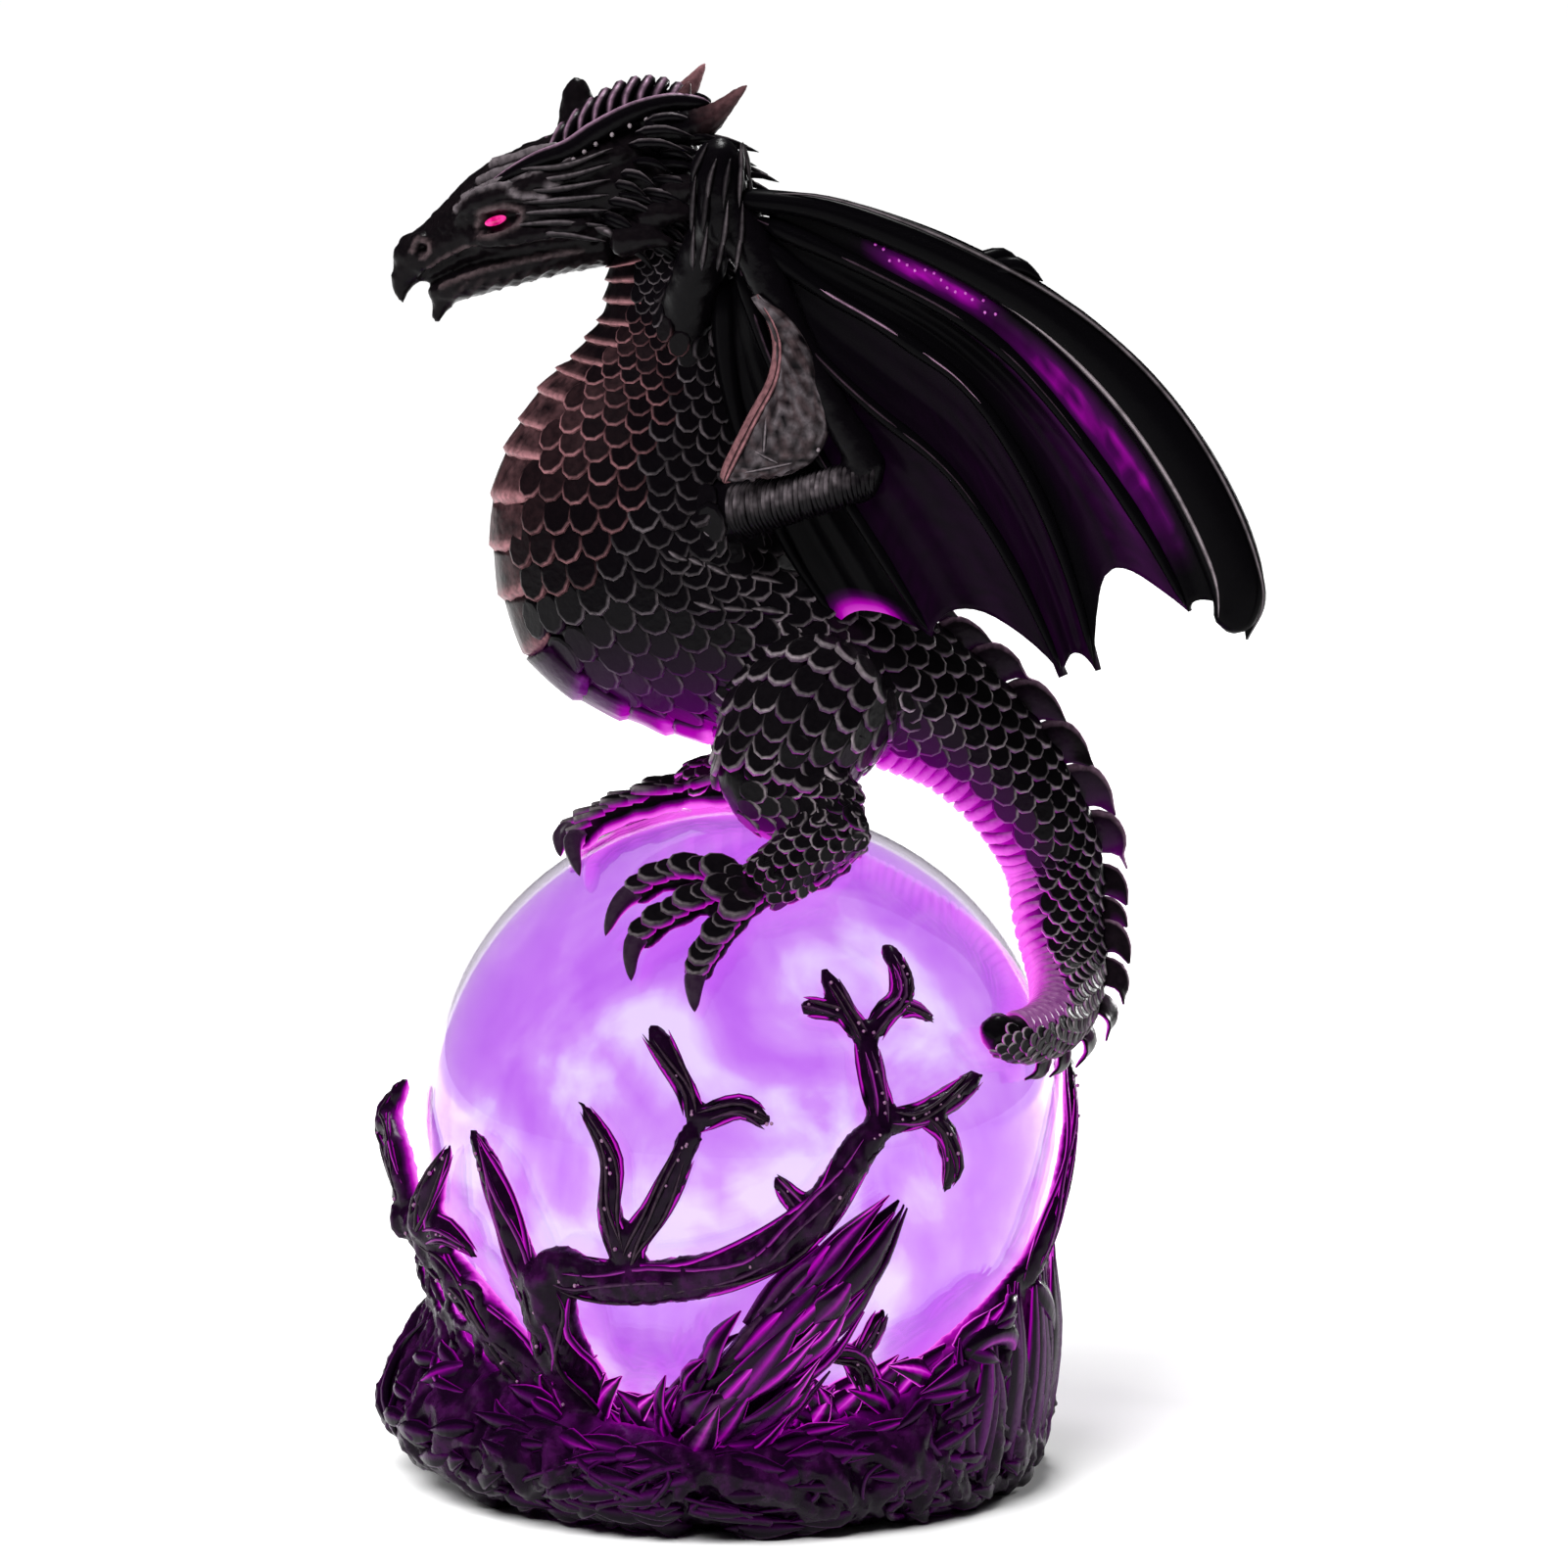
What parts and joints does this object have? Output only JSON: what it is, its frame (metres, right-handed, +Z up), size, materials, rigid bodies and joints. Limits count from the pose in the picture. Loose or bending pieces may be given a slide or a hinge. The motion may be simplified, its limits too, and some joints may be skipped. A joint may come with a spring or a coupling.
{
  "type": "dragon statue",
  "caption": "Horned dragon statue in dark cast resin, wings half open, perched on a glowing purple glass globe that a base of roots and branches holds.",
  "frame": {"origin": "middle of the flat underside, straight below the globe's centre", "axes": "+Z up; +Y away from the viewer; the dragon's head points to -X and its left side to -Y"},
  "size_m": [0.1195, 0.0971, 0.1951],
  "materials": {
    "root_resin": "cast resin, near black and glossy, with purple on its raised edges",
    "globe_glass": "clear glass over a glowing, clouded lilac core",
    "dragon_resin": "cast resin, near black and glossy, dry-brushed with rose copper"
  },
  "bodies": {
    "root": {"base": "root_resin", "globe": "globe_glass", "dragon": "dragon_resin"}
  },
  "joints": []
}
